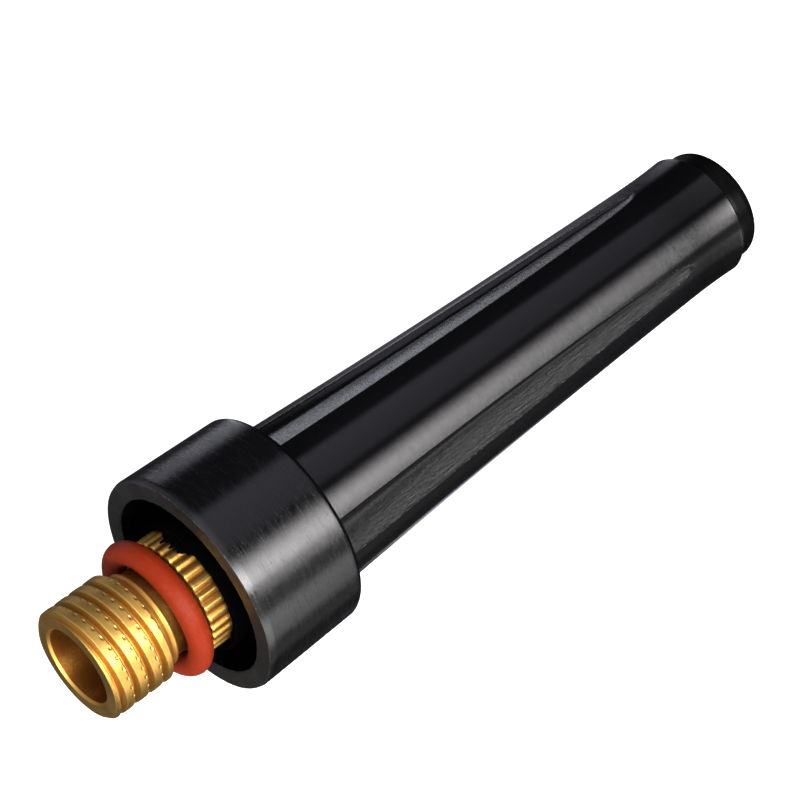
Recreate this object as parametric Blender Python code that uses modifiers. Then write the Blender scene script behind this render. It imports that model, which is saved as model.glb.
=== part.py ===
"""Back cap of a TIG welding torch: a fluted phenolic handle moulded round a threaded brass insert.

The cap lies on its side. Its axis runs along +X at the height of the collar's radius, with the brass
nose at -X and the closed tip at +X. Every piece is modelled upright, with the nose face at height 0,
and hangs on one empty that lays it down. Lengths are in metres.
"""

import math

import bmesh
import bpy
from mathutils import Matrix

MM = 0.001

# Fits
FIT_GAP = 0.3 * MM                  # clearance between pieces that touch or nest
CUT_OVERRUN = 1.0 * MM              # how far a cutter runs past the face that it cuts through

# Threaded insert, stations measured from the nose face
THREAD_RADIUS = 5.07 * MM           # crest of the external thread
THREAD_PITCH = 1.44 * MM            # right hand
THREAD_DEPTH = 0.62 * MM
THREAD_GROOVE_MOUTH = 0.62 * MM     # axial width of the groove at the crest
THREAD_GROOVE_FLOOR = 0.12 * MM
THREAD_LENGTH = 5.7 * MM
THREAD_PHASE = 1.95 * MM            # station of a groove at the first flute's angle
NOSE_CHAMFER = 0.35 * MM
RELIEF_LENGTH = 0.9 * MM            # undercut behind the thread
NECK_WALL = 0.45 * MM               # round the mouth of the bore, under the sealing ring
NECK_LIP_HEIGHT = 0.35 * MM         # low ridge that keeps the ring on its seat
NECK_LIP_LENGTH = 0.4 * MM
NOSE_BORE_STEP = 0.5 * MM           # the mouth is wider than the electrode bore and takes the collet's tail
NOSE_BORE_DEPTH = 9.0 * MM
BORE_CHAMFER = 0.2 * MM
KNURL_RADIUS = 5.35 * MM
KNURL_DEPTH = 0.28 * MM
KNURL_TEETH = 32
KNURL_END = 0.3 * MM                # plain end of the knurled tail
FLANGE_THICKNESS = 3.0 * MM
KEY_GROOVE_RADIUS = 4.3 * MM        # ring groove that locks the insert in the moulding
KEY_GROOVE_LENGTH = 1.6 * MM
ANCHOR_LENGTH = 6.0 * MM            # knurled tail of the insert

# Sealing ring
RING_SECTION_RADIUS = 1.03 * MM

# Cap body
ELECTRODE_BORE_RADIUS = 3.0 * MM    # houses the tail of the electrode
RIM_SETBACK = 1.85 * MM             # from the flange's front face to the rim of the collar
COLLAR_RADIUS = 10.0 * MM
COLLAR_LENGTH = 10.3 * MM
COLLAR_DRAFT = 0.3 * MM             # the collar is smaller by this at its rear
COLLAR_REAR_FILLET = 0.5 * MM
RIM_EDGE_LENGTH = 0.4 * MM
RIM_EDGE_DROP = 0.12 * MM
SKIRT_WALL = 1.8 * MM
RECESS_DEPTH = 3.6 * MM
RECESS_FLOOR_FILLET = 0.4 * MM
BOSS_WALL = 0.45 * MM               # moulding round the insert's flange
BOSS_PROUD = 0.25 * MM              # the boss stands this far in front of the rim
HANDLE_ROOT_RADIUS = 7.57 * MM
HANDLE_WAIST_RADIUS = 5.77 * MM
HANDLE_SAG = 0.19 * MM              # hollow of the long taper
HANDLE_LENGTH = 44.7 * MM           # from the collar to the waist
FLARE_LENGTH = 5.0 * MM             # from the waist to the end rim
FLARE_RISE = 0.07 * MM

# Flutes, each a steep short wall and a long flat that meet in a root
FLUTE_COUNT = 4
FLUTE_TURN = math.radians(-0.6)     # of the first flute, from the angle where the thread's phase is set
FLUTE_HALF_ANGLE = math.radians(14.4)   # half the opening at the collar, seen from the axis
FLUTE_CLOSING = 0.3                 # 0.5 would close the opening along the handle as an ellipse does
FLUTE_WALL_LEANS = 0.34             # fall of the wall over the length across it, at the collar
FLUTE_WALL_STANDS = 1.10            # the same further on, where the flute gets shallower
FLUTE_WALL_LENGTH = 12.5 * MM       # over which the wall stands up
FLUTE_FLAT_SLOPE = 0.165            # rise of the flat over the length across it
FLUTE_ROOT_SHARE = 0.10             # of the half width, taken off the root's corner on the wall
FLUTE_LENGTH = 43.0 * MM
FLUTE_START = 0.25 * MM             # behind the collar

# End plug
PLUG_HEAD_RADIUS = 5.3 * MM
PLUG_HEAD_LENGTH = 2.3 * MM
PLUG_EDGE_RADIUS = 1.0 * MM
PLUG_STEM_LENGTH = 6.0 * MM
PLUG_STEM_CHAMFER = 0.5 * MM

LYING_TURN = math.radians(-111.6)   # turn of the cap about its own axis as it lies

ROUND_STEPS = 60
FINE_STEPS = 48
ARC_STEPS = 5
HANDLE_STEPS = 12

# Radii and stations along the axis that follow from the sizes above
NOSE_BORE_RADIUS = ELECTRODE_BORE_RADIUS + NOSE_BORE_STEP
NECK_RADIUS = NOSE_BORE_RADIUS + NECK_WALL
NECK_LIP_RADIUS = NECK_RADIUS + NECK_LIP_HEIGHT
RELIEF_END = THREAD_LENGTH + RELIEF_LENGTH
RING_SEAT = RELIEF_END + NECK_LIP_LENGTH
RING_STATION = RING_SEAT + FIT_GAP + RING_SECTION_RADIUS
FLANGE_FRONT = RING_STATION + RING_SECTION_RADIUS + FIT_GAP
FLANGE_REAR = FLANGE_FRONT + FLANGE_THICKNESS
ANCHOR_FRONT = FLANGE_REAR + KEY_GROOVE_LENGTH
INSERT_END = ANCHOR_FRONT + ANCHOR_LENGTH
KNURL_ROOT = KNURL_RADIUS - KNURL_DEPTH
RING_RADIUS = NECK_RADIUS + FIT_GAP + RING_SECTION_RADIUS
RIM = FLANGE_FRONT + RIM_SETBACK
BOSS_FRONT = RIM - BOSS_PROUD
BOSS_RADIUS = KNURL_RADIUS + FIT_GAP + BOSS_WALL
RECESS_RADIUS = COLLAR_RADIUS - SKIRT_WALL
RECESS_FLOOR = RIM + RECESS_DEPTH
COLLAR_REAR = RIM + COLLAR_LENGTH
COLLAR_REAR_RADIUS = COLLAR_RADIUS - COLLAR_DRAFT
WAIST = COLLAR_REAR + HANDLE_LENGTH
BODY_END = WAIST + FLARE_LENGTH
PLUG_FRONT = BODY_END + FIT_GAP
PLUG_END = PLUG_FRONT + PLUG_HEAD_LENGTH
PLUG_STEM_RADIUS = ELECTRODE_BORE_RADIUS - FIT_GAP


def new_collection(name):
    collection = bpy.data.collections.new(name)
    bpy.context.scene.collection.children.link(collection)
    return collection


def new_material(name, colour, roughness, metallic=0.0):
    material = bpy.data.materials.new(name)
    material.use_nodes = True
    shader = material.node_tree.nodes["Principled BSDF"]
    shader.inputs["Base Color"].default_value = (*colour, 1.0)
    shader.inputs["Roughness"].default_value = roughness
    shader.inputs["Metallic"].default_value = metallic
    material.diffuse_color = (*colour, 1.0)
    return material


def finish(piece, material):
    """Give a piece its material and smooth round faces with sharp edges."""
    piece.data.materials.append(material)
    piece.data.shade_smooth()
    piece.data.set_sharp_from_angle(angle=math.radians(35))
    piece.parent = cap_axis
    return piece


def as_cutter(tool):
    tool.hide_render = True
    tool.display_type = "WIRE"
    tool.parent = cap_axis
    return tool


def turned(name, profile, collection, steps=ROUND_STEPS, closed=True):
    """Turn a profile of (radius, station) points about the axis.

    The points run down the outer side, from the highest station to the lowest, and a closed profile
    comes back up the inner side. An open profile starts and ends on the axis.
    """
    mesh = bpy.data.meshes.new(name)
    count = len(profile)
    edges = [(i, i + 1) for i in range(count - 1)]
    if closed:
        edges.append((count - 1, 0))
    mesh.from_pydata([(radius, 0.0, station) for radius, station in profile], edges, [])
    piece = bpy.data.objects.new(name, mesh)
    collection.objects.link(piece)
    screw = piece.modifiers.new("turn", "SCREW")
    screw.axis = "Z"
    screw.angle = 2.0 * math.pi
    screw.steps = steps
    screw.render_steps = steps
    screw.use_merge_vertices = True
    screw.merge_threshold = 1e-6
    screw.use_smooth_shade = True
    return piece


def arc(radius_centre, station_centre, radius, start, end, steps=ARC_STEPS):
    """Points of a profile arc; angles in degrees, 0 points outward and 90 to higher stations."""
    angles = [math.radians(start + (end - start) * i / steps) for i in range(steps + 1)]
    return [(radius_centre + radius * math.cos(a), station_centre + radius * math.sin(a)) for a in angles]


def handle_radius(station):
    """Radius of the handle: a hollow taper down to the waist, then a flare that joins it smoothly."""
    if station > WAIST:
        t = (station - WAIST) / FLARE_LENGTH
        fall = (HANDLE_WAIST_RADIUS - HANDLE_ROOT_RADIUS + 4.0 * HANDLE_SAG) * FLARE_LENGTH / HANDLE_LENGTH
        return HANDLE_WAIST_RADIUS + fall * t + (FLARE_RISE - fall) * t * t
    t = (station - COLLAR_REAR) / HANDLE_LENGTH
    straight = HANDLE_ROOT_RADIUS + (HANDLE_WAIST_RADIUS - HANDLE_ROOT_RADIUS) * t
    return straight - 4.0 * HANDLE_SAG * t * (1.0 - t)


def cut(piece, tool, operation="DIFFERENCE"):
    boolean = piece.modifiers.new(tool.name, "BOOLEAN")
    boolean.operation = operation
    boolean.solver = "EXACT"
    boolean.object = tool


def knurled_disc(name, front, rear):
    """A disc with straight V teeth round its rim, to be joined to the turned blank."""
    mesh = bpy.data.meshes.new(name)
    bm = bmesh.new()
    ring = []
    for i in range(2 * KNURL_TEETH):
        radius = KNURL_RADIUS if i % 2 == 0 else KNURL_ROOT
        angle = math.pi * i / KNURL_TEETH
        ring.append(bm.verts.new((radius * math.cos(angle), radius * math.sin(angle), rear)))
    top = bm.faces.new(ring)
    copy = bmesh.ops.extrude_face_region(bm, geom=[top])
    moved = [item for item in copy["geom"] if isinstance(item, bmesh.types.BMVert)]
    bmesh.ops.translate(bm, verts=moved, vec=(0.0, 0.0, front - rear))
    bmesh.ops.recalc_face_normals(bm, faces=bm.faces)
    bm.to_mesh(mesh)
    bm.free()
    disc = bpy.data.objects.new(name, mesh)
    cutters.objects.link(disc)
    return as_cutter(disc)


def thread_groove():
    """A V section carried along a right-hand helix, from before the nose into the relief."""
    reach = THREAD_RADIUS + CUT_OVERRUN
    floor = THREAD_RADIUS - THREAD_DEPTH
    slope = 0.5 * (THREAD_GROOVE_MOUTH - THREAD_GROOVE_FLOOR) / THREAD_DEPTH
    half_floor = 0.5 * THREAD_GROOVE_FLOOR
    half_reach = half_floor + slope * (reach - floor)
    section = [(floor, -half_floor), (reach, -half_reach), (reach, half_reach), (floor, half_floor)]
    start = -1.5 * THREAD_PITCH
    end = THREAD_LENGTH + 0.5 * RELIEF_LENGTH
    steps = round((end - start) / THREAD_PITCH * FINE_STEPS)
    bm = bmesh.new()
    rings = []
    for i in range(steps + 1):
        station = start + (end - start) * i / steps
        angle = 2.0 * math.pi * (station - THREAD_PHASE) / THREAD_PITCH
        rings.append([bm.verts.new((r * math.cos(angle), r * math.sin(angle), station + rise))
                      for r, rise in section])
    for low, high in zip(rings, rings[1:]):
        for i in range(len(section)):
            j = (i + 1) % len(section)
            bm.faces.new((low[i], low[j], high[j], high[i]))
    bm.faces.new(rings[0])
    bm.faces.new(rings[-1])
    bmesh.ops.recalc_face_normals(bm, faces=bm.faces)
    mesh = bpy.data.meshes.new("thread_groove")
    bm.to_mesh(mesh)
    bm.free()
    tool = bpy.data.objects.new("thread_groove", mesh)
    cutters.objects.link(tool)
    return as_cutter(tool)


def insert_bore():
    """The stepped bore: a wide mouth for the collet's tail, then the electrode's passage."""
    mouth = NOSE_BORE_RADIUS + BORE_CHAMFER + CUT_OVERRUN
    profile = [
        (0.0, INSERT_END + CUT_OVERRUN),
        (ELECTRODE_BORE_RADIUS, INSERT_END + CUT_OVERRUN),
        (ELECTRODE_BORE_RADIUS, NOSE_BORE_DEPTH + NOSE_BORE_STEP),
        (NOSE_BORE_RADIUS, NOSE_BORE_DEPTH),
        (NOSE_BORE_RADIUS, BORE_CHAMFER),
        (mouth, -CUT_OVERRUN),
        (0.0, -CUT_OVERRUN),
    ]
    return as_cutter(turned("insert_bore", profile, cutters, ROUND_STEPS, closed=False))


def threaded_insert():
    """One turned brass piece: threaded nose, neck, knurled flange, locking groove, knurled tail."""
    core = KNURL_ROOT - KNURL_DEPTH
    relief = THREAD_RADIUS - THREAD_DEPTH - 0.5 * THREAD_GROOVE_FLOOR
    profile = [
        (0.0, INSERT_END),
        (core, INSERT_END),
        (core, ANCHOR_FRONT),
        (KEY_GROOVE_RADIUS, ANCHOR_FRONT),
        (KEY_GROOVE_RADIUS, FLANGE_REAR),
        (core, FLANGE_REAR),
        (core, FLANGE_FRONT),
        (NECK_RADIUS, FLANGE_FRONT),
        (NECK_RADIUS, RING_SEAT),
        (NECK_LIP_RADIUS, RING_SEAT - 0.25 * NECK_LIP_LENGTH),
        (NECK_LIP_RADIUS, RELIEF_END),
        (relief, THREAD_LENGTH + 0.5 * RELIEF_LENGTH),
        (relief, THREAD_LENGTH + THREAD_DEPTH * 0.5),
        (THREAD_RADIUS, THREAD_LENGTH),
        (THREAD_RADIUS, NOSE_CHAMFER),
        (THREAD_RADIUS - NOSE_CHAMFER, 0.0),
        (0.0, 0.0),
    ]
    piece = turned("threaded_insert", profile, parts, FINE_STEPS, closed=False)
    cut(piece, knurled_disc("flange_knurl", FLANGE_FRONT, FLANGE_REAR), "UNION")
    cut(piece, knurled_disc("anchor_knurl", ANCHOR_FRONT, INSERT_END - KNURL_END), "UNION")
    cut(piece, thread_groove())
    cut(piece, insert_bore())
    return finish(piece, new_material("brass", (0.72, 0.53, 0.24), 0.28, 1.0))


def sealing_ring():
    bpy.ops.mesh.primitive_torus_add(
        major_segments=FINE_STEPS,
        minor_segments=12,
        major_radius=RING_RADIUS,
        minor_radius=RING_SECTION_RADIUS,
        location=(0.0, 0.0, 0.0),
    )
    ring = bpy.context.object
    ring.name = "o_ring"
    ring.data.name = "o_ring"
    ring.data.transform(Matrix.Translation((0.0, 0.0, RING_STATION)))
    for collection in ring.users_collection:
        collection.objects.unlink(ring)
    parts.objects.link(ring)
    return finish(ring, new_material("silicone", (0.62, 0.13, 0.045), 0.45))


def flute_section(station):
    """Outline of a flute across the handle, as (outward, sideways) points, with room to run out.

    The opening closes slowly at first and quickly at the flute's end. The wall and the flat are
    straight lines through the two edges of the opening, and a short line cuts off the corner where
    they meet. The wall leans back at the collar and stands up as the flute gets shallower.
    """
    t = (station - COLLAR_REAR - FLUTE_START) / FLUTE_LENGTH
    half = FLUTE_HALF_ANGLE * max(0.0, 1.0 - t * t) ** FLUTE_CLOSING
    radius = handle_radius(station)
    chord = radius * math.cos(half)
    width = radius * math.sin(half)
    away = min((station - COLLAR_REAR - FLUTE_START) / FLUTE_WALL_LENGTH, 1.0)
    wall = FLUTE_WALL_LEANS + (FLUTE_WALL_STANDS - FLUTE_WALL_LEANS) * away
    meet = (FLUTE_FLAT_SLOPE - wall) / (FLUTE_FLAT_SLOPE + wall)
    on_wall = meet - FLUTE_ROOT_SHARE
    on_flat = meet + 2.0 * FLUTE_ROOT_SHARE
    outside = radius + 3.0 * CUT_OVERRUN
    side = width + CUT_OVERRUN
    return [
        (chord - wall * (1.0 + on_wall) * width, on_wall * width),
        (chord - FLUTE_FLAT_SLOPE * (1.0 - on_flat) * width, on_flat * width),
        (chord + FLUTE_FLAT_SLOPE * CUT_OVERRUN, side),
        (outside, side),
        (outside, -side),
        (chord + wall * CUT_OVERRUN, -side),
    ]


def flute_cutters():
    """One tool per flute: its section carried along the handle from the collar until it fades."""
    start = COLLAR_REAR + FLUTE_START
    tools = []
    for flute in range(FLUTE_COUNT):
        turn = FLUTE_TURN + 2.0 * math.pi * flute / FLUTE_COUNT
        bm = bmesh.new()
        rings = []
        for i in range(HANDLE_STEPS + 1):
            station = start + 0.99 * FLUTE_LENGTH * i / HANDLE_STEPS
            rings.append([bm.verts.new((outward * math.cos(turn) - sideways * math.sin(turn),
                                        outward * math.sin(turn) + sideways * math.cos(turn), station))
                          for outward, sideways in flute_section(station)])
        for low, high in zip(rings, rings[1:]):
            for i in range(len(low)):
                j = (i + 1) % len(low)
                bm.faces.new((low[i], low[j], high[j], high[i]))
        bm.faces.new(rings[0])
        bm.faces.new(rings[-1])
        bmesh.ops.recalc_face_normals(bm, faces=bm.faces)
        name = f"flute_{flute + 1}"
        mesh = bpy.data.meshes.new(name)
        bm.to_mesh(mesh)
        bm.free()
        tool = bpy.data.objects.new(name, mesh)
        cutters.objects.link(tool)
        tools.append(as_cutter(tool))
    return tools


def cap_body():
    """The phenolic moulding: fluted handle, collar with its recess, and the boss round the insert."""
    handle = []
    for i in range(HANDLE_STEPS + 1):
        station = WAIST + (COLLAR_REAR - WAIST) * i / HANDLE_STEPS
        handle.append((handle_radius(station), station))
    flare = [(handle_radius(BODY_END - FLARE_LENGTH * t), BODY_END - FLARE_LENGTH * t)
             for t in (0.0, 0.2, 0.4, 0.7)]
    fillet = arc(COLLAR_REAR_RADIUS - COLLAR_REAR_FILLET, COLLAR_REAR - COLLAR_REAR_FILLET,
                 COLLAR_REAR_FILLET, 90.0, 0.0)
    floor_fillet = arc(RECESS_RADIUS - RECESS_FLOOR_FILLET, RECESS_FLOOR - RECESS_FLOOR_FILLET,
                       RECESS_FLOOR_FILLET, 0.0, 90.0)
    flange_room = KNURL_RADIUS + FIT_GAP
    key_room = KEY_GROOVE_RADIUS + FIT_GAP
    profile = [
        (ELECTRODE_BORE_RADIUS, BODY_END),
        *flare,
        *handle,
        *fillet,
        (COLLAR_RADIUS, RIM + RIM_EDGE_LENGTH),
        (COLLAR_RADIUS - RIM_EDGE_DROP, RIM),
        (RECESS_RADIUS, RIM),
        *floor_fillet,
        (BOSS_RADIUS, RECESS_FLOOR),
        (BOSS_RADIUS, BOSS_FRONT + 0.5 * BOSS_WALL),
        (BOSS_RADIUS - 0.5 * BOSS_WALL, BOSS_FRONT),
        (flange_room, BOSS_FRONT),
        (flange_room, FLANGE_REAR + FIT_GAP),
        (key_room, FLANGE_REAR + FIT_GAP),
        (key_room, ANCHOR_FRONT - FIT_GAP),
        (flange_room, ANCHOR_FRONT - FIT_GAP),
        (flange_room, INSERT_END + FIT_GAP),
        (ELECTRODE_BORE_RADIUS, INSERT_END + FIT_GAP),
    ]
    piece = turned("cap_body", profile, parts)
    for tool in flute_cutters():
        cut(piece, tool)
    return finish(piece, new_material("phenolic", (0.018, 0.018, 0.02), 0.25))


def end_plug():
    """The tip: a round-edged button on a stem that is pressed into the electrode bore."""
    head = arc(PLUG_HEAD_RADIUS - PLUG_EDGE_RADIUS, PLUG_END - PLUG_EDGE_RADIUS,
               PLUG_EDGE_RADIUS, 90.0, 0.0)
    stem_end = PLUG_FRONT - PLUG_STEM_LENGTH
    profile = [
        (0.0, PLUG_END),
        *head,
        (PLUG_HEAD_RADIUS, PLUG_FRONT),
        (PLUG_STEM_RADIUS, PLUG_FRONT),
        (PLUG_STEM_RADIUS, stem_end + PLUG_STEM_CHAMFER),
        (PLUG_STEM_RADIUS - PLUG_STEM_CHAMFER, stem_end),
        (0.0, stem_end),
    ]
    piece = turned("end_plug", profile, parts, FINE_STEPS, closed=False)
    return finish(piece, new_material("phenolic_plug", (0.02, 0.02, 0.022), 0.3))


for old in list(bpy.data.objects):
    bpy.data.objects.remove(old, do_unlink=True)

parts = new_collection("tig_torch_back_cap")
cutters = new_collection("cutters")

cap_axis = bpy.data.objects.new("cap_axis", None)
parts.objects.link(cap_axis)
cap_axis.matrix_world = (
    Matrix.Translation((-0.5 * PLUG_END, 0.0, COLLAR_RADIUS))
    @ Matrix.Rotation(LYING_TURN, 4, "X")
    @ Matrix.Rotation(0.5 * math.pi, 4, "Y")
)

cap_body()
threaded_insert()
sealing_ring()
end_plug()
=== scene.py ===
import math

import bpy
import numpy as np
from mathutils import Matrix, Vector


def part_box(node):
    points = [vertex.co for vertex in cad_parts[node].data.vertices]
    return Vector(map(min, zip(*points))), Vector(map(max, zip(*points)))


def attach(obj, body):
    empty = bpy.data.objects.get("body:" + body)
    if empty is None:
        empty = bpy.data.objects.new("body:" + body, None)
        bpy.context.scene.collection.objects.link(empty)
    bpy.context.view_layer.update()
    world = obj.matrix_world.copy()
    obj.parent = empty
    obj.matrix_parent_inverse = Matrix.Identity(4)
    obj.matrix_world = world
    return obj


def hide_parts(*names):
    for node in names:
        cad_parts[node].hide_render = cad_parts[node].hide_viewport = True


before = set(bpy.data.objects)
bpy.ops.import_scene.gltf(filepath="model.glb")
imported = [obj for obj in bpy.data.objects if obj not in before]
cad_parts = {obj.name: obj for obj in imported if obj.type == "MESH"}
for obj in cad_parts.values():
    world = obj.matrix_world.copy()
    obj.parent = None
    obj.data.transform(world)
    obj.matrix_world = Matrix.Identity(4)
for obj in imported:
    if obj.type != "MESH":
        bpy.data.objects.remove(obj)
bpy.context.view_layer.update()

MM = 0.001


# ---------------------------------------------------------------------------------------------
# Threaded insert: one turned piece of free-cutting brass. The bar is knurled first, then the nose
# is threaded over what the knurl left, and the neck is turned down for the sealing ring. The flange
# and the tail keep the knurl, and the handle is moulded round them.
# ---------------------------------------------------------------------------------------------

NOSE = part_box("threaded_insert")[0].x
AXIS = 0.5 * (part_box("cap_body")[0].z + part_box("cap_body")[1].z)
LYING_TURN = math.radians(-111.6)

THREAD_RADIUS = 5.07 * MM
THREAD_PITCH = 1.44 * MM
THREAD_DEPTH = 0.60 * MM
GROOVE_HALF_MOUTH = 0.31 * MM
GROOVE_HALF_FLOOR = 0.05 * MM
GROOVE_PHASE = 1.95 * MM
THREAD_END = 5.7 * MM
THREAD_RUNOUT = 2.2
DIMPLE_DEPTH = 0.085 * MM
DIMPLE_BACK = 0.42 * MM
DIMPLE_WIDTH = 0.10 * MM
NOSE_CHAMFER = 0.35 * MM
UNDERCUT_RADIUS = 4.42 * MM
UNDERCUT_FOOT = 4.18 * MM
LIP_RADIUS = 4.30 * MM
NECK_RADIUS = 3.95 * MM
MOUTH_RADIUS = 3.5 * MM
PASSAGE_RADIUS = 3.0 * MM
KNURL_TEETH = 32
KNURL_RADIUS = 5.35 * MM
KNURL_DEPTH = 0.26 * MM
FLANGE_FRONT = 9.66 * MM
FLANGE_REAR = 12.66 * MM
KEY_RADIUS = 4.3 * MM
TAIL_FRONT = 14.26 * MM
TAIL_END = 20.26 * MM
CORNER = 0.04 * MM
KNURL_SEED = 11

# The tarnish colour is also painted shade inside the bore, and its red cast is a painted reflection of the
# sealing ring on the neck; the pale colour also paints highlights on the dimples.
CLEAN_BRASS = (0.54, 0.310, 0.070)
PALE_BRASS_AND_GLINT = (0.70, 0.44, 0.135)
TARNISH_SHADE_AND_RING_REFLECTION = (0.20, 0.070, 0.012)


def skin(name, station, radius, angle, closed=True, marks=None):
    """Skin a grid of points whose rows follow a profile and whose columns go round the axis.

    Each point stands at its station behind the nose face, at its radius from the axis and at its
    angle from the first flute. The columns always close on themselves. The rows close too, as round
    a bore, or else both end rows shrink to a pole. Faces are turned outward by the sign of the
    volume. Marks are values from 0 to 1 on every point that the finish reads back.
    """
    station, radius, angle = np.broadcast_arrays(station, radius, angle)
    turn = angle + LYING_TURN
    points = np.stack([NOSE + station, radius * np.sin(turn), AXIS - radius * np.cos(turn)], axis=-1)
    rows, columns = station.shape
    index = np.arange(rows * columns).reshape(rows, columns)
    if closed:
        near, far = index, np.roll(index, -1, axis=0)
        caps = []
        vertices = points.reshape(-1, 3)
    else:
        near, far = index[:-1], index[1:]
        ends = points[[0, -1]].mean(axis=1)
        vertices = np.concatenate([points.reshape(-1, 3), ends])
        first = np.stack([np.roll(index[0], -1), index[0], np.full(columns, rows * columns)], axis=-1)
        last = np.stack([index[-1], np.roll(index[-1], -1), np.full(columns, rows * columns + 1)], axis=-1)
        caps = np.concatenate([first, last])
    quads = np.stack([near, np.roll(near, -1, axis=1), np.roll(far, -1, axis=1), far], axis=-1)
    quads = quads.reshape(-1, 4)
    a, b, c, d = (vertices[quads[:, i]] for i in range(4))
    volume = np.einsum("ij,ij->", a, np.cross(b, c)) + np.einsum("ij,ij->", a, np.cross(c, d))
    faces = quads.tolist() + [list(cap) for cap in caps]
    if volume < 0.0:
        faces = [face[::-1] for face in faces]
    mesh = bpy.data.meshes.new(name)
    mesh.from_pydata(vertices.tolist(), [], faces)
    for label, values in (marks or {}).items():
        spread = np.broadcast_to(values, station.shape).reshape(-1)
        spread = np.concatenate([spread, np.zeros(len(vertices) - spread.size)])
        mesh.attributes.new(label, "FLOAT", "POINT").data.foreach_set("value", spread.astype(np.float32))
    piece = bpy.data.objects.new(name, mesh)
    bpy.context.scene.collection.objects.link(piece)
    return piece


def soft_min(a, b, blend):
    """The lower of two heights, with the corner where they cross rounded over the blend."""
    return 0.5 * (a + b - np.sqrt((a - b) ** 2 + blend ** 2))


def soft_max(a, b, blend):
    return -soft_min(-a, -b, blend)


def teeth(angle, wander):
    """Straight V knurl: 1 on a tooth's crest and 0 in the valley, each tooth wandering a little."""
    wave = np.abs(((angle * KNURL_TEETH / (2.0 * np.pi) + wander) % 1.0) - 0.5) * 2.0
    return np.clip((wave - 0.22) / 0.55, 0.0, 1.0)


def thread_radius(station, angle):
    """Height of the nose: the crest, cut by a V that climbs one pitch per turn, and by both chamfers.

    The rear corner of every crest still carries the foot of the knurl as a row of small dimples.
    """
    phase = station - GROOVE_PHASE - THREAD_PITCH * angle / (2.0 * np.pi)
    from_groove = ((phase / THREAD_PITCH + 0.5) % 1.0 - 0.5) * THREAD_PITCH
    steepness = THREAD_DEPTH / (GROOVE_HALF_MOUTH - GROOVE_HALF_FLOOR)
    groove = THREAD_RADIUS - THREAD_DEPTH + (np.abs(from_groove) - GROOVE_HALF_FLOOR) * steepness
    groove = soft_max(groove, THREAD_RADIUS - THREAD_DEPTH, 0.05 * MM)
    dimple = np.clip(np.cos(angle * KNURL_TEETH), 0.0, 1.0) ** 2
    rear = np.exp(-((from_groove + DIMPLE_BACK) / DIMPLE_WIDTH) ** 2)
    crest = THREAD_RADIUS - DIMPLE_DEPTH * dimple * rear
    height = soft_min(groove, crest, 0.045 * MM)
    height = soft_min(height, THREAD_RADIUS - NOSE_CHAMFER + station, 0.03 * MM)
    fall = THREAD_RADIUS - (station - THREAD_END) * THREAD_RUNOUT
    height = soft_min(height, fall, 0.04 * MM)
    return np.maximum(height, UNDERCUT_RADIUS), np.abs(from_groove), dimple * rear


columns = 384
around = np.arange(columns) * 2.0 * np.pi / columns
random = np.random.default_rng(KNURL_SEED)
wander = np.repeat(random.uniform(-0.10, 0.10, KNURL_TEETH), columns // KNURL_TEETH)
wander = np.convolve(np.tile(wander, 3), np.ones(5) / 5.0, "same")[columns:2 * columns]
tooth_height = np.repeat(random.uniform(0.72, 1.0, KNURL_TEETH), columns // KNURL_TEETH)
tooth_height = np.convolve(np.tile(tooth_height, 3), np.ones(5) / 5.0, "same")[columns:2 * columns]
knurl = KNURL_RADIUS - KNURL_DEPTH * (1.0 - teeth(around, wander) * tooth_height)
valley = 1.25 * (1.0 - teeth(around, wander)) ** 1.5

level = np.arange(0.0, THREAD_END + 0.32 * MM, 0.036 * MM)[:, None]
thread, off_groove, dimples = thread_radius(level, around[None, :])
# Darker towards the thread groove; each dimple gets a negative value, which paints a pale highlight on it.
groove_dark_and_dimple_glint = 0.45 * np.clip(1.0 - (off_groove - 0.10 * MM) / (0.25 * MM), 0.0, 1.0) - 1.6 * dimples
level = np.broadcast_to(level, thread.shape)

station_rows = []
radius_rows = []
shade_rows = []


def row(station, radius, shade=0.0):
    """Add one row of the profile; the radius and the shade may differ from column to column."""
    station_rows.append(np.full(columns, station))
    radius_rows.append(np.broadcast_to(np.asarray(radius, float), (columns,)))
    shade_rows.append(np.broadcast_to(np.asarray(shade, float), (columns,)))


for share in (0.0, 0.04, 0.35, 0.65, 0.96):
    row(0.0, (MOUTH_RADIUS + 0.2 * MM) * (1.0 - share) + thread[0] * share)
station_rows.extend(level)
radius_rows.extend(thread)
shade_rows.extend(groove_dark_and_dimple_glint)
undercut = ((6.04 * MM, 4.41 * MM), (6.10 * MM, 4.40 * MM), (6.25 * MM, 4.33 * MM), (6.40 * MM, 4.25 * MM),
            (6.50 * MM, 4.19 * MM), (6.54 * MM, UNDERCUT_FOOT), (6.57 * MM, 4.22 * MM),
            (6.61 * MM, 4.27 * MM), (6.67 * MM, LIP_RADIUS), (6.75 * MM, 4.305 * MM),
            (6.83 * MM, LIP_RADIUS), (6.90 * MM, 4.26 * MM),
            (6.95 * MM, 4.19 * MM), (6.98 * MM, 4.08 * MM), (7.0 * MM, 3.97 * MM), (7.03 * MM, NECK_RADIUS))
for station, radius in undercut:
    row(station, radius, 0.45)
# Painted reflection: the neck is marked dark so that it takes the red-brown of the sealing ring reflected in
# the brass.
for station in (7.6, 8.2, 8.8, 9.4, 9.62):
    row(station * MM, NECK_RADIUS, 1.1)
row(FLANGE_FRONT, NECK_RADIUS + 0.04 * MM, 1.1)
for share in (0.05, 0.4, 0.7, 0.9):
    row(FLANGE_FRONT, (NECK_RADIUS + 0.04 * MM) * (1.0 - share) + knurl * share - 0.12 * MM * share, 0.4)
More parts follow.
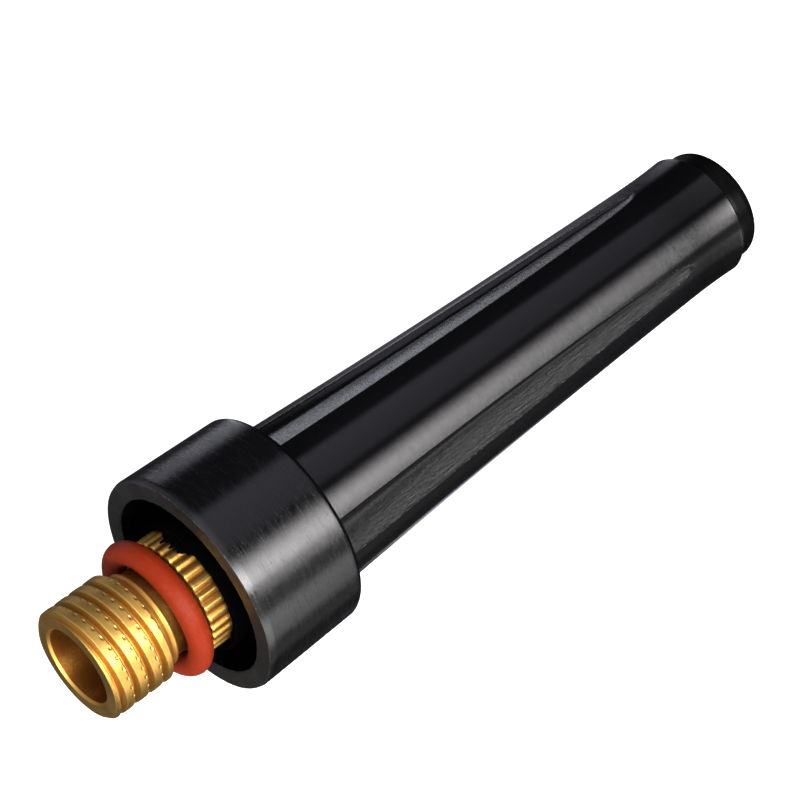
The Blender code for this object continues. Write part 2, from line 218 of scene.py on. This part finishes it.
for front, rear in ((FLANGE_FRONT, FLANGE_REAR), (TAIL_FRONT, TAIL_END)):
    for inset, drop in ((0.0, 0.12), (0.04, 0.06), (0.11, 0.0)):
        row(front + inset * MM, knurl - drop * MM, valley)
    for share in np.linspace(0.1, 0.9, 8):
        row(front + (rear - front) * share, knurl, valley)
    for inset, drop in ((0.11, 0.0), (0.04, 0.06), (0.0, 0.12)):
        row(rear - inset * MM, knurl - drop * MM, valley)
    if rear == FLANGE_REAR:
        for station, radius in ((FLANGE_REAR, KEY_RADIUS + 0.2 * MM), (FLANGE_REAR, KEY_RADIUS + CORNER),
                                (FLANGE_REAR + CORNER, KEY_RADIUS), (13.4 * MM, KEY_RADIUS),
                                (TAIL_FRONT - CORNER, KEY_RADIUS), (TAIL_FRONT, KEY_RADIUS + CORNER),
                                (TAIL_FRONT, KEY_RADIUS + 0.2 * MM)):
            row(station, radius)
# Painted shade: the end face and the bore of the insert are marked darkest, for the shade inside the hollow.
for radius in (4.6 * MM, 3.6 * MM, PASSAGE_RADIUS + CORNER):
    row(TAIL_END, radius, 1.2)
row(TAIL_END - CORNER, PASSAGE_RADIUS, 1.2)
for station in (17.0, 13.0, 9.55):
    row(station * MM, PASSAGE_RADIUS, 1.2)
row(9.5 * MM, PASSAGE_RADIUS + 0.02 * MM, 1.2)
row(9.05 * MM, MOUTH_RADIUS - 0.03 * MM, 1.2)
for station in (9.0, 8.0, 7.0, 6.0, 5.0, 4.0, 3.0, 2.0, 1.0, 0.24):
    row(station * MM, MOUTH_RADIUS, 1.2)
row(0.2 * MM, MOUTH_RADIUS + 0.01 * MM, 0.3)
row(0.03 * MM, MOUTH_RADIUS + 0.18 * MM, 0.3)

insert = skin("brass_insert", np.array(station_rows), np.array(radius_rows), around[None, :],
              marks={"groove": np.array(shade_rows)})
insert.data.shade_smooth()
insert.data.set_sharp_from_angle(angle=math.radians(75))


class Shade:
    """A socket of a finish. Sums, products and powers of shades add Math nodes to its tree."""

    def __init__(self, tree, socket=None):
        self.tree = tree
        self.socket = socket

    def feed(self, target, value):
        if isinstance(value, Shade):
            self.tree.links.new(value.socket, target)
        else:
            target.default_value = value

    def add(self, kind, settings=None, inputs=None, output=0):
        """Add a node: its settings first, a ramp's stops among them, then its sockets."""
        node = self.tree.nodes.new(kind)
        for name, value in (settings or {}).items():
            if name == "stops":
                while len(node.color_ramp.elements) < len(value):
                    node.color_ramp.elements.new(0.5)
                for element, (position, colour) in zip(node.color_ramp.elements, value):
                    element.position = position
                    element.color = (*colour, 1.0)
            else:
                setattr(node, name, value)
        for name, value in (inputs or {}).items():
            self.feed(node.inputs[name], value)
        return Shade(self.tree, node.outputs[output])

    def sum_of(self, operation, *terms):
        return self.add("ShaderNodeMath", {"operation": operation}, dict(enumerate(terms)))

    def __add__(self, other):
        return self.sum_of("ADD", self, other)

    def __sub__(self, other):
        return self.sum_of("SUBTRACT", self, other)

    def __rsub__(self, other):
        return self.sum_of("SUBTRACT", other, self)

    def __mul__(self, other):
        return self.sum_of("MULTIPLY", self, other)

    def __truediv__(self, other):
        return self.sum_of("DIVIDE", self, other)

    def __pow__(self, other):
        return self.sum_of("POWER", self, other)

    __radd__ = __add__
    __rmul__ = __mul__

    def rise(self, low, high):
        """0 below the low end, 1 above the high end, and a smooth step between them."""
        return self.add("ShaderNodeMapRange", {"interpolation_type": "SMOOTHSTEP"},
                        {"Value": self, "From Min": low, "From Max": high})

    def part(self, axis):
        return self.add("ShaderNodeSeparateXYZ", None, {"Vector": self}, axis)

    def stretched(self, scale, offset=(0.0, 0.0, 0.0)):
        return self.add("ShaderNodeMapping", None, {"Vector": self, "Location": offset, "Scale": scale})

    def grain(self, scale, detail=3.0, rough=0.5):
        return self.add("ShaderNodeTexNoise", None,
                        {"Vector": self, "Scale": scale, "Detail": detail, "Roughness": rough})

    def blend(self, first, second):
        """Colour that goes from the first to the second as this shade goes from 0 to 1."""
        first, second = (end if isinstance(end, Shade) else (*end, 1.0) for end in (first, second))
        return self.add("ShaderNodeMix", {"data_type": "RGBA"}, {0: self, 6: first, 7: second}, 2)

    def relief(self, strength, distance, under=None):
        inputs = {"Height": self, "Strength": strength, "Distance": distance}
        if under is not None:
            inputs["Normal"] = under
        return self.add("ShaderNodeBump", None, inputs)


def new_finish(name, piece):
    """A principled finish for one piece; returns its shader and its object coordinates."""
    finish = bpy.data.materials.new(name)
    finish.use_nodes = True
    shader = finish.node_tree.nodes["Principled BSDF"]
    place = Shade(finish.node_tree).add("ShaderNodeTexCoord", None, None, "Object")
    piece.data.materials.append(finish)
    return shader, place


def dress(shader, place, **inputs):
    """Feed the shader; the words of a socket's name are joined by underscores."""
    for name, value in inputs.items():
        place.feed(shader.inputs[name.replace("_", " ")], value)


shader, place = new_finish("turned brass", insert)
turning = place.stretched((22.0, 0.35, 0.35)).grain(1600.0, 4.0, 0.65)
broad = place.stretched((1.0, 1.0, 1.0)).grain(420.0, 3.0)
fine = place.grain(5200.0, 3.0, 0.6)
# The groove mark darkens the grooves, knurl valleys and undercut, paints shade in the bore and a red
# reflection of the ring on the neck, and goes negative on the dimples to paint highlights there; broad and
# fine noise add real tarnish.
groove = place.add("ShaderNodeAttribute", {"attribute_name": "groove"}, None, "Fac")
tarnish_and_painted_shade = (groove * 0.75 + (broad - 0.5) * 0.9 + (fine - 0.5) * 0.5).rise(0.25, 1.0)
colour = tarnish_and_painted_shade.blend(CLEAN_BRASS, TARNISH_SHADE_AND_RING_REFLECTION)
pale_tone_and_glint = (turning - 0.5) * 1.8 + (fine - 0.5) * 1.0 + 0.24 - groove * 0.45
colour = pale_tone_and_glint.rise(0.0, 1.0).blend(colour, PALE_BRASS_AND_GLINT)
dress(shader, place, Base_Color=colour, Metallic=1.0,
      Roughness=0.33 + turning * 0.16 + groove * 0.08,
      Normal=turning.relief(0.50, 0.00002, fine.relief(0.45, 0.00001)))

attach(insert, "root")
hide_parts("threaded_insert")


# ---------------------------------------------------------------------------------------------
# Sealing ring: a moulded silicone O-ring that sits in the neck against the flange. A hair of flash
# runs round it where the two halves of the mould met.
# ---------------------------------------------------------------------------------------------

RING_STATION = 8.33 * MM
RING_RADIUS = 5.28 * MM
RING_SECTION = 1.03 * MM
FLASH_HEIGHT = 0.018 * MM

RING_RED = (0.150, 0.0125, 0.0024)
RING_DUST = (0.200, 0.022, 0.006)

round_section = np.arange(72)[:, None] * 2.0 * np.pi / 72
round_axis = np.arange(320)[None, :] * 2.0 * np.pi / 320
flash = FLASH_HEIGHT * np.exp(-(np.sin(round_section) / 0.05) ** 2)
sway = 0.02 * MM * np.sin(3.0 * round_axis + 0.6) + 0.012 * MM * np.sin(7.0 * round_axis)
section = RING_SECTION - FLASH_HEIGHT + flash
ring = skin("sealing_ring", RING_STATION + section * np.sin(round_section),
            RING_RADIUS + sway + section * np.cos(round_section), round_axis)
ring.data.shade_smooth()

shader, place = new_finish("red silicone", ring)
cloud = place.grain(300.0, 4.0, 0.6)
speck = place.grain(4200.0, 2.0, 0.5)
dust = ((cloud - 0.5) * 1.5 + (speck - 0.5) * 1.2 + 0.25).rise(0.1, 0.9)
dress(shader, place, Base_Color=dust.blend(RING_RED, RING_DUST), Roughness=0.30 + cloud * 0.3,
      Normal=speck.relief(0.30, 0.00001, cloud.relief(0.35, 0.00005)))
shader.inputs["Specular IOR Level"].default_value = 0.08

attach(ring, "root")
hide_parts("o_ring")


# ---------------------------------------------------------------------------------------------
# Cap body: glass-filled black phenolic, moulded round the insert. The long handle is polished on a
# lathe, which leaves fine rings, and has four flutes that fade towards the tip. The collar is satin,
# its rim is faced off, and inside it a boss grips the flange, with some flash over the knurl.
# ---------------------------------------------------------------------------------------------

RIM = 11.51 * MM
COLLAR_RADIUS = 10.0 * MM
COLLAR_REAR = 21.81 * MM
COLLAR_REAR_RADIUS = 9.7 * MM
COLLAR_FILLET = 0.5 * MM
RIM_EDGE_LENGTH = 0.4 * MM
RIM_EDGE_DROP = 0.12 * MM
RECESS_RADIUS = 8.2 * MM
RECESS_FLOOR = 15.11 * MM
RECESS_FILLET = 0.4 * MM
BOSS_RADIUS = 6.1 * MM
BOSS_FRONT = 11.26 * MM
FLASH_MIDDLE = math.radians(285.0)
FLASH_SPREAD = math.radians(20.0)
FLASH_REACH = 1.0 * MM
HANDLE_ROOT = 7.57 * MM
HANDLE_WAIST = 5.77 * MM
HANDLE_SAG = 0.19 * MM
WAIST = 66.51 * MM
BODY_END = 71.51 * MM
FLARE_RISE = 0.07 * MM
FLUTES = 4
FLUTE_HALF_ANGLE = math.radians(14.4)
FLUTE_CLOSING = 0.3
FLUTE_START = 22.06 * MM
FLUTE_LENGTH = 43.0 * MM
FLUTE_WALL = (0.66, 0.85)
FLUTE_SLOPE = (0.27, 0.22)
FLUTE_ROOT = (0.42, 0.20)
FLUTE_SETTLES = 14.0 * MM
FLUTE_SHIFT = math.radians(-0.6)
NARROWEST = math.radians(2.5)
BORE_RADIUS = 3.0 * MM
FIT_GAP = 0.3 * MM
POCKET_RADIUS = KNURL_RADIUS + FIT_GAP
POCKET_END = TAIL_END + FIT_GAP
GRIP_RADIUS = KEY_RADIUS + FIT_GAP
GRIP_FRONT = FLANGE_REAR + FIT_GAP
GRIP_REAR = TAIL_FRONT - FIT_GAP
CHIP_SEED = 5

BLACK = (0.0016, 0.0016, 0.0019)
# Black for painted shade in the recess and on the flare.
PAINTED_SHADE_BLACK = (0.0008, 0.0008, 0.0008)
FACED = (0.0045, 0.0034, 0.0021)
# Worn phenolic grey, also used for painted highlights along the edges.
WORN_AND_GLINT = (0.022, 0.022, 0.022)


def handle_radius(station):
    """Hollow taper from the collar to the waist, then a curve out to the end rim that joins smoothly."""
    t = np.clip((station - COLLAR_REAR) / (WAIST - COLLAR_REAR), 0.0, 1.0)
    taper = HANDLE_ROOT + (HANDLE_WAIST - HANDLE_ROOT) * t - 4.0 * HANDLE_SAG * t * (1.0 - t)
    flare = np.clip((station - WAIST) / (BODY_END - WAIST), 0.0, 1.0)
    slope = (HANDLE_WAIST - HANDLE_ROOT + 4.0 * HANDLE_SAG) * (BODY_END - WAIST) / (WAIST - COLLAR_REAR)
    return taper + slope * flare + (FLARE_RISE - slope) * flare ** 2


def flute_half_angle(station):
    """Half the opening angle of a flute, which closes slowly at first and quickly at its end."""
    t = np.clip((station - FLUTE_START) / FLUTE_LENGTH, 0.0, 1.0)
    return np.maximum(FLUTE_HALF_ANGLE * (1.0 - t * t) ** FLUTE_CLOSING, NARROWEST)


def flute_floor(station, share):
    """Depth below the chord over the flute's half width: a wall and a long flat joined by a round root.

    The root is wide at the collar and gets tighter, and the wall stands up, as the flute goes on.
    """
    away = np.clip((station - FLUTE_START) / FLUTE_SETTLES, 0.0, 1.0)
    wall, slope, root = (near + (far - near) * away for near, far in (FLUTE_WALL, FLUTE_SLOPE, FLUTE_ROOT))
    corner = root * np.sqrt(1.0 - share ** 2)
    return np.maximum(soft_min(wall * (1.0 + share), slope * (1.0 - share), corner), 0.0)


across = 30
between = 50
sector = across + between
step = np.arange(FLUTES * sector)
place_in = step % sector
share_hollow = np.clip(2.0 * place_in / across - 1.0, -1.0, 1.0)
share_land = np.clip((place_in - across) / between, 0.0, 1.0)
land_share = np.minimum(share_land, 1.0 - share_land)
middle = (step // sector) * 2.0 * np.pi / FLUTES + FLUTE_SHIFT
random = np.random.default_rng(CHIP_SEED)


def ragged(count, smooth, top):
    """A smooth random edge round the axis, from 0 to the top."""
    noise = np.tile(random.uniform(0.0, 1.0, count), 3)
    noise = np.convolve(noise, np.ones(smooth) / smooth, "same")[count:2 * count]
    return top * (noise - noise.min()) / (noise.max() - noise.min())


columns = FLUTES * sector
station_rows = []
radius_rows = []
angle_rows = []
wear_and_glint_rows = []
flute_rows = []


def ring_row(station, radius, wear=0.0, fluted=False):
    """One row round the body. A column on a flute's edge stays on it all along the handle."""
    half = flute_half_angle(station)
    offset = half * share_hollow
    surface = np.broadcast_to(np.asarray(radius, float), (columns,)).copy()
    mark = np.broadcast_to(np.asarray(wear, float), (columns,)).copy()
    cut = np.zeros(columns)
    if fluted:
        inside = place_in <= across
        chord = surface * np.sin(half) * share_hollow
        depth = flute_floor(station, share_hollow) * (half > NARROWEST)
        fall = surface * np.cos(half) - surface * np.sin(half) * depth
        offset = np.where(inside & (half > NARROWEST), np.arctan2(chord, fall), offset)
        local = half * share_hollow
        surface = np.where(inside & (half > NARROWEST), np.hypot(chord, fall), surface)
        from_edge = np.where(inside, half - np.abs(local), (np.pi / FLUTES - half) * 2.0 * land_share)
        # Edges of the flutes: wear, and a painted light line along each edge for its highlight.
        mark = np.maximum(mark, np.exp(-(from_edge * surface / (0.09 * MM)) ** 2) * (half > 1.2 * NARROWEST))
        cut = 1.0 * (inside & (np.abs(share_hollow) < 0.98) & (half > 1.2 * NARROWEST))
    station_rows.append(np.full(columns, station) if np.ndim(station) == 0 else station)
    radius_rows.append(surface)
    angle_rows.append(middle + offset + (2.0 * np.pi / FLUTES - 2.0 * half) * share_land)
    wear_and_glint_rows.append(mark)
    flute_rows.append(cut)


end_chips = ragged(columns, 4, 0.10 * MM)
for reach in (0.0, 0.05, 1.2, 2.2, 2.55):
    ring_row(BODY_END, BORE_RADIUS + reach * MM)
end_radius = float(handle_radius(BODY_END))
# Edge rows of the end rim: chips, wear and a painted edge highlight.
ring_row(BODY_END, end_radius - 0.13 * MM - 0.5 * end_chips, 0.4)
ring_row(BODY_END - 0.05 * MM, end_radius - 0.04 * MM - 0.3 * end_chips, 1.0)
ring_row(BODY_END - 0.14 * MM, end_radius, 0.5)
for station in np.linspace(BODY_END - 0.25 * MM, WAIST, 22):
    ring_row(station, float(handle_radius(station)), fluted=True)
for station in np.linspace(WAIST - 0.2 * MM, FLUTE_START + 0.02 * MM, 120):
    ring_row(station, float(handle_radius(station)), fluted=True)
ring_row(FLUTE_START, float(handle_radius(FLUTE_START)))
ring_row(COLLAR_REAR + 0.04 * MM, HANDLE_ROOT)
ring_row(COLLAR_REAR, HANDLE_ROOT + 0.03 * MM)
for radius in (8.2, 8.9):
    ring_row(COLLAR_REAR, radius * MM)
for bend in np.linspace(90.0, 0.0, 9):
    lift = math.radians(bend)
    ring_row(COLLAR_REAR - COLLAR_FILLET * (1.0 - math.sin(lift)),
             COLLAR_REAR_RADIUS - COLLAR_FILLET * (1.0 - math.cos(lift)), 0.25)
for share in np.linspace(0.03, 1.0, 26):
    front = COLLAR_REAR - COLLAR_FILLET + share * (RIM + RIM_EDGE_LENGTH - COLLAR_REAR + COLLAR_FILLET)
    ring_row(front, COLLAR_REAR_RADIUS + (COLLAR_RADIUS - COLLAR_REAR_RADIUS) * share, 0.0)
rim_chips = ragged(columns, 5, 0.05 * MM)
# Edge rows of the collar rim: chips, wear and a painted edge highlight.
ring_row(RIM + 0.2 * MM, COLLAR_RADIUS - 0.5 * RIM_EDGE_DROP, 0.1)
ring_row(RIM + 0.07 * MM, COLLAR_RADIUS - 0.9 * RIM_EDGE_DROP, 0.75)
ring_row(RIM + 0.03 * MM, COLLAR_RADIUS - RIM_EDGE_DROP - 0.3 * rim_chips, 1.0)
ring_row(RIM, COLLAR_RADIUS - RIM_EDGE_DROP - 0.06 * MM - rim_chips, 0.6)
ring_row(RIM, COLLAR_RADIUS - RIM_EDGE_DROP - 0.14 * MM - rim_chips, 0.0)
for radius in (9.4, 8.9, 8.45):
    ring_row(RIM, radius * MM)
torn = ragged(columns, 3, 0.16 * MM)
for inset, step_in in ((0.0, 0.13), (0.03, 0.06), (0.10, 0.015), (0.25, 0.0)):
    ring_row(RIM + inset * MM, RECESS_RADIUS + step_in * MM + torn * step_in / 0.13, 0.3)
for station in (12.2, 12.9, 13.6, 14.3, 14.7):
    ring_row(station * MM, RECESS_RADIUS)
for bend in np.linspace(15.0, 90.0, 6):
    lift = math.radians(bend)
    ring_row(RECESS_FLOOR - RECESS_FILLET * (1.0 - math.sin(lift)),
             RECESS_RADIUS - RECESS_FILLET * (1.0 - math.cos(lift)))
for radius in (7.2, 6.6, 6.25):
    ring_row(RECESS_FLOOR, radius * MM)
ring_row(RECESS_FLOOR - 0.1 * MM, BOSS_RADIUS + 0.02 * MM)
for station in (14.4, 13.5, 12.6, 11.9):
    ring_row(station * MM, BOSS_RADIUS)
lip = ragged(columns, 7, 0.22 * MM)
bare = flute_half_angle(BOSS_FRONT)
lip_angle = middle + bare * share_hollow + (2.0 * np.pi / FLUTES - 2.0 * bare) * share_land
from_flash = np.abs((lip_angle - FLASH_MIDDLE + np.pi) % (2.0 * np.pi) - np.pi) / FLASH_SPREAD
flash = np.clip(1.6 * (1.0 - from_flash), 0.0, 1.0) * (0.45 * MM + ragged(columns, 2, FLASH_REACH))
ring_row(BOSS_FRONT + 0.22 * MM, BOSS_RADIUS - 0.02 * MM)
ring_row(BOSS_FRONT + 0.08 * MM + 0.3 * lip, BOSS_RADIUS - 0.12 * MM)
ring_row(BOSS_FRONT + 0.4 * lip, BOSS_RADIUS - 0.25 * MM)
ring_row(BOSS_FRONT + 0.7 * lip, 5.72 * MM)
ring_row(BOSS_FRONT + 0.03 * MM + lip - 0.5 * flash, 5.60 * MM + 0.4 * lip)
ring_row(BOSS_FRONT + 0.06 * MM + lip - flash, 5.50 * MM + 0.4 * lip)
ring_row(BOSS_FRONT + 0.10 * MM + lip - flash, 5.42 * MM + 0.4 * lip)
ring_row(BOSS_FRONT + 0.20 * MM + lip - 0.6 * flash, 5.44 * MM + 0.3 * lip)
ring_row(BOSS_FRONT + 0.30 * MM + lip, 5.52 * MM + 0.3 * lip)
for station, radius in ((12.0 * MM, POCKET_RADIUS - 0.03 * MM), (GRIP_FRONT, POCKET_RADIUS),
                        (GRIP_FRONT, GRIP_RADIUS + 0.05 * MM), (GRIP_FRONT + CORNER, GRIP_RADIUS),
                        (GRIP_REAR - CORNER, GRIP_RADIUS), (GRIP_REAR, GRIP_RADIUS + 0.05 * MM),
                        (GRIP_REAR, POCKET_RADIUS - 0.05 * MM), (GRIP_REAR + CORNER, POCKET_RADIUS),
                        (17.0 * MM, POCKET_RADIUS), (20.5 * MM, POCKET_RADIUS),
                        (POCKET_END, POCKET_RADIUS - 0.05 * MM), (POCKET_END, BORE_RADIUS + 0.05 * MM),
                        (POCKET_END + CORNER, BORE_RADIUS)):
    ring_row(station, radius)
for station in (33.0, 46.0, 59.0, 71.4):
    ring_row(station * MM, BORE_RADIUS)

body = skin("moulded_body", np.array(station_rows), np.array(radius_rows), np.array(angle_rows),
            marks={"wear": np.array(wear_and_glint_rows), "flute": np.array(flute_rows)})
body.data.shade_smooth()
body.data.set_sharp_from_angle(angle=math.radians(22))

shader, place = new_finish("black phenolic", body)
along = place.part(0) - NOSE
aside = place.part(1)
height = place.part(2) - AXIS
out = (aside * aside + height * height) ** 0.5
on_handle = along.rise(COLLAR_REAR - 0.02 * MM, COLLAR_REAR + 0.02 * MM)
on_rim = (1.0 - along.rise(RIM + 0.02 * MM, RIM + 0.06 * MM)) * out.rise(BOSS_RADIUS, 8.0 * MM)
in_recess = 1.0 - out.rise(RECESS_RADIUS - 0.05 * MM, RECESS_RADIUS + 0.05 * MM)
in_recess = (1.0 - along.rise(RECESS_FLOOR, RECESS_FLOOR + 1.0 * MM)) * in_recess
# The wear mark: real chips and rubbing, plus painted highlights along the flute edges and rims, all in the
# worn grey.
wear = place.add("ShaderNodeAttribute", {"attribute_name": "wear"}, None, "Fac")
in_flute = place.add("ShaderNodeAttribute", {"attribute_name": "flute"}, None, "Fac")
rings = place.stretched((26.0, 0.5, 0.5)).grain(900.0, 4.0, 0.7)
streaks = place.stretched((0.07, 1.0, 1.0)).grain(6500.0, 3.0, 0.6)
scuffs = place.stretched((1.0, 0.18, 0.18)).grain(2600.0, 3.0, 0.6)
pores = place.grain(6500.0, 2.0, 0.5)
patches = place.grain(180.0, 3.0)
flecks = (place.stretched((0.4, 1.0, 1.0)).grain(5200.0, 3.0, 0.7) * 0.7 + scuffs * 0.3).rise(0.61, 0.70)
chipped_and_glinting = (wear * 0.9 + (pores - 0.5) * 1.6 + (scuffs - 0.5) * 1.2).rise(0.60, 1.10)
colour = (on_rim * (patches * 1.6 + pores * 0.8 - 0.6)).rise(0.0, 1.0).blend(BLACK, FACED)
colour = (chipped_and_glinting * 0.8).blend(colour, WORN_AND_GLINT)
colour = (in_flute * flecks * 0.50).blend(colour, WORN_AND_GLINT)
satin = 0.175 + (rings - 0.5) * 0.50 + (scuffs - 0.5) * 0.40 + (pores - 0.5) * 0.25
polished = 0.095 + (rings - 0.5) * 0.16 + (patches - 0.5) * 0.05 + (pores - 0.5) * 0.08
polished = polished + in_flute * (0.01 + (streaks - 0.5) * 0.34 + (pores - 0.5) * 0.24)
roughness = on_handle * polished + (1.0 - on_handle) * satin
roughness = roughness + on_rim * 0.30 + chipped_and_glinting * 0.2
turned = rings.relief(0.30, 0.00002, scuffs.relief(0.22, 0.00002, pores.relief(0.16, 0.00001)))
drawn = ((streaks + pores * 0.7) * in_flute).relief(0.60, 0.00003, turned)
dress(shader, place, Base_Color=colour, Roughness=roughness, Normal=drawn)
# Painted shade: the recess is mixed fully, and the flare partly, towards a matt black diffuse that takes
# away their reflections.
painted_shade_matt = place.add("ShaderNodeBsdfDiffuse", None, {"Color": (*PAINTED_SHADE_BLACK, 1.0)})
on_flare = along.rise(WAIST - 4.0 * MM, WAIST + 2.0 * MM)
painted_shade_mix = place.add("ShaderNodeMixShader", None,
                 {0: in_recess + on_flare * 0.3, 1: Shade(place.tree, shader.outputs["BSDF"]), 2: painted_shade_matt})
place.tree.links.new(painted_shade_mix.socket, place.tree.nodes["Material Output"].inputs["Surface"])

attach(body, "root")
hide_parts("cap_body")


# ---------------------------------------------------------------------------------------------
# End plug: a round-edged phenolic button on a stem that is pressed into the bore and closes the
# tip. It is moulded from the same compound and left as it came from the mould.
# ---------------------------------------------------------------------------------------------

PLUG_FRONT = 71.81 * MM
PLUG_END = 74.11 * MM
PLUG_RADIUS = 5.3 * MM
PLUG_EDGE = 1.0 * MM
STEM_RADIUS = 2.7 * MM
STEM_END = 65.81 * MM

PLUG_BLACK = (0.0012, 0.0012, 0.0013)
PLUG_SWIRL = (0.0030, 0.0029, 0.0030)

columns = 256
around = np.arange(columns) * 2.0 * np.pi / columns
profile = [(STEM_END, radius * MM) for radius in (0.3, 1.6, 2.16)]
profile += [(65.83 * MM, 2.21 * MM), (66.28 * MM, 2.67 * MM)]
profile += [(station * MM, STEM_RADIUS) for station in (66.33, 68.0, 70.0, 71.77)]
profile += [(PLUG_FRONT, radius * MM) for radius in (2.74, 3.8, 4.9, 5.2)]
profile += [(71.84 * MM, 5.27 * MM)]
profile += [(station * MM, PLUG_RADIUS) for station in (71.90, 72.2, 72.6, 73.0)]
for bend in np.radians(np.linspace(2.0, 84.0, 14)):
    profile += [(PLUG_END - PLUG_EDGE * (1.0 - math.sin(bend)),
                 PLUG_RADIUS - PLUG_EDGE * (1.0 - math.cos(bend)))]
profile += [(74.109 * MM, 4.1 * MM), (74.105 * MM, 3.4 * MM)]
profile += [(74.10 * MM, radius * MM) for radius in (2.4, 1.4, 0.5)]
profile = np.array(profile)
plug = skin("end_button", profile[:, :1], profile[:, 1:], around[None, :], closed=False)
plug.data.shade_smooth()
plug.data.set_sharp_from_angle(angle=math.radians(40))

shader, place = new_finish("moulded phenolic", plug)
skin_grain = place.grain(3800.0, 3.0, 0.6)
swirl = place.stretched((9.0, 1.0, 1.0)).grain(700.0, 3.0)
dress(shader, place, Base_Color=((swirl - 0.5) * 1.5 + 0.4).rise(0.0, 1.0).blend(PLUG_BLACK, PLUG_SWIRL),
      Roughness=0.17 + skin_grain * 0.14 + (swirl - 0.5) * 0.06,
      Normal=skin_grain.relief(0.12, 0.00001))
shader.inputs["Specular IOR Level"].default_value = 0.04

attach(plug, "root")
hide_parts("end_plug")


# ---------------------------------------------------------------------------------------------
# Studio: a glowing white table, and a tent whose cloth is lit in bands round the length of the cap.
# The table meets the cap where it really rests, on the collar's rear edge and on the tip.
# ---------------------------------------------------------------------------------------------

TABLE_RADIUS = 2.5
TABLE_GLOW = 1.06

rest_rear = (NOSE + COLLAR_REAR - COLLAR_FILLET, AXIS - COLLAR_REAR_RADIUS)
rest_tip = (NOSE + BODY_END, AXIS - end_radius)
slope = (rest_tip[1] - rest_rear[1]) / (rest_tip[0] - rest_rear[0])
spread = np.arange(96) * 2.0 * np.pi / 96
table_x, table_y = TABLE_RADIUS * np.cos(spread), TABLE_RADIUS * np.sin(spread)
table_z = rest_rear[1] + slope * (table_x - rest_rear[0])
table_mesh = bpy.data.meshes.new("white_table")
table_mesh.from_pydata(np.stack([table_x, table_y, table_z], axis=-1).tolist(), [], [list(range(96))])
table = bpy.data.objects.new("white_table", table_mesh)
bpy.context.scene.collection.objects.link(table)
shader, place = new_finish("white acrylic", table)
dress(shader, place, Base_Color=(0.5, 0.5, 0.5, 1.0), Roughness=1.0,
      Emission_Color=(1.0, 1.0, 1.0, 1.0), Emission_Strength=TABLE_GLOW)
shader.inputs["Specular IOR Level"].default_value = 0.0
table.visible_glossy = False

tent = bpy.data.worlds.new("light tent")
bpy.context.scene.world = tent
tent.use_nodes = True
way = Shade(tent.node_tree).add("ShaderNodeTexCoord", None, None, "Generated")
east, north, up = way.part(0), way.part(1), way.part(2)
round_cap = up.sum_of("ARCTAN2", up, 0.0 - north) * (180.0 / math.pi)
round_cap = ((round_cap + 450.0).sum_of("MODULO", round_cap + 450.0, 360.0)) - 90.0


def band(start, end, start_soft, end_soft):
    """A strip of lit cloth between two angles round the cap, 0 in front, 90 above, 180 behind."""
    lit = round_cap.rise(start - start_soft, start + start_soft)
    return lit * (1.0 - round_cap.rise(end - end_soft, end + end_soft))


on_taper = east.rise(0.43, 0.46)
key_gain = 0.6 + (1.0 - east.rise(0.515, 0.60)) * 7.6 + (1.0 - east.rise(0.38, 0.48)) * 11.0
key_foot = round_cap + east.rise(0.41, 0.47) * 13.0 - east.rise(0.55, 0.58) * 9.0
key = key_foot.rise(18.0, 28.0) * (1.0 - round_cap.rise(32.0, 56.0)) * key_gain
roof = band(63.5, 107.0, 4.5, 5.0) * (round_cap.rise(62.0, 107.0) * 0.25 + 0.50)
low_gain = 0.25 + (1.0 - east.rise(0.40, 0.47)) * 2.5 + east.rise(0.50, 0.57) * 0.55
front_low = (band(-38.0, -8.0, 7.0, 4.0) + band(-24.0, -9.0, 5.0, 3.0) * 0.5) * low_gain
front_floor = band(-62.0, -38.0, 6.0, 5.0) * (0.30 - east.rise(0.43, 0.46) * 0.25)
front_mid = band(-8.0, 16.0, 4.0, 4.0) * (1.0 - on_taper) + band(-17.0, 14.0, 7.0, 2.5) * on_taper * 0.62
front_mid = front_mid * 0.62
behind_low = band(197.0, 222.0, 6.0, 6.0) * on_taper * 0.12
behind = band(166.0, 197.0, 8.0, 8.0) * (0.10 + on_taper * (1.0 - east.rise(0.475, 0.53)) * 2.6)
under = band(228.0, 264.0, 5.0, 4.0) * east.rise(0.43, 0.455) * (1.0 - east.rise(0.475, 0.50)) * 1.0
middle_light = key + roof + front_low + front_floor + front_mid + behind + behind_low + under + 0.035
middle_light = middle_light * (1.0 - east.rise(0.525, 0.59) * 0.50) * (1.0 - east.rise(0.60, 0.72) * 0.85)
nose_side = 1.0 - east.rise(0.06, 0.34)
light = middle_light * (1.0 - east.rise(0.55, 0.60) * 0.4) + nose_side * (0.07 + up.rise(-0.3, 0.3) * 0.38)
tent_light = tent.node_tree.nodes["Background"]
tent.node_tree.links.new(light.socket, tent_light.inputs["Strength"])
tint = round_cap.rise(50.0, 64.0).blend((1.0, 0.98, 0.975), (0.955, 0.965, 1.10))
tent.node_tree.links.new(tint.socket, tent_light.inputs["Color"])


# ---------------------------------------------------------------------------------------------
# Camera: a long lens, looking down on the cap from the front left of its nose.
# ---------------------------------------------------------------------------------------------

AIM = (0.43 * MM, 2.50 * MM, AXIS)
AZIMUTH = math.radians(-43.73)
ELEVATION = math.radians(49.215)
DISTANCE = 253.2 * MM

lens = bpy.data.cameras.new("long lens")
lens.lens = 135.0
lens.sensor_width = 36.0
lens.clip_start = 0.01
lens.clip_end = 10.0
camera = bpy.data.objects.new("camera", lens)
bpy.context.scene.collection.objects.link(camera)
camera.location = (AIM[0] + DISTANCE * math.cos(ELEVATION) * math.sin(AZIMUTH),
                   AIM[1] - DISTANCE * math.cos(ELEVATION) * math.cos(AZIMUTH),
                   AIM[2] + DISTANCE * math.sin(ELEVATION))
camera.rotation_euler = (0.5 * math.pi - ELEVATION, 0.0, AZIMUTH)
bpy.context.scene.camera = camera
bpy.context.scene.view_settings.view_transform = "Standard"
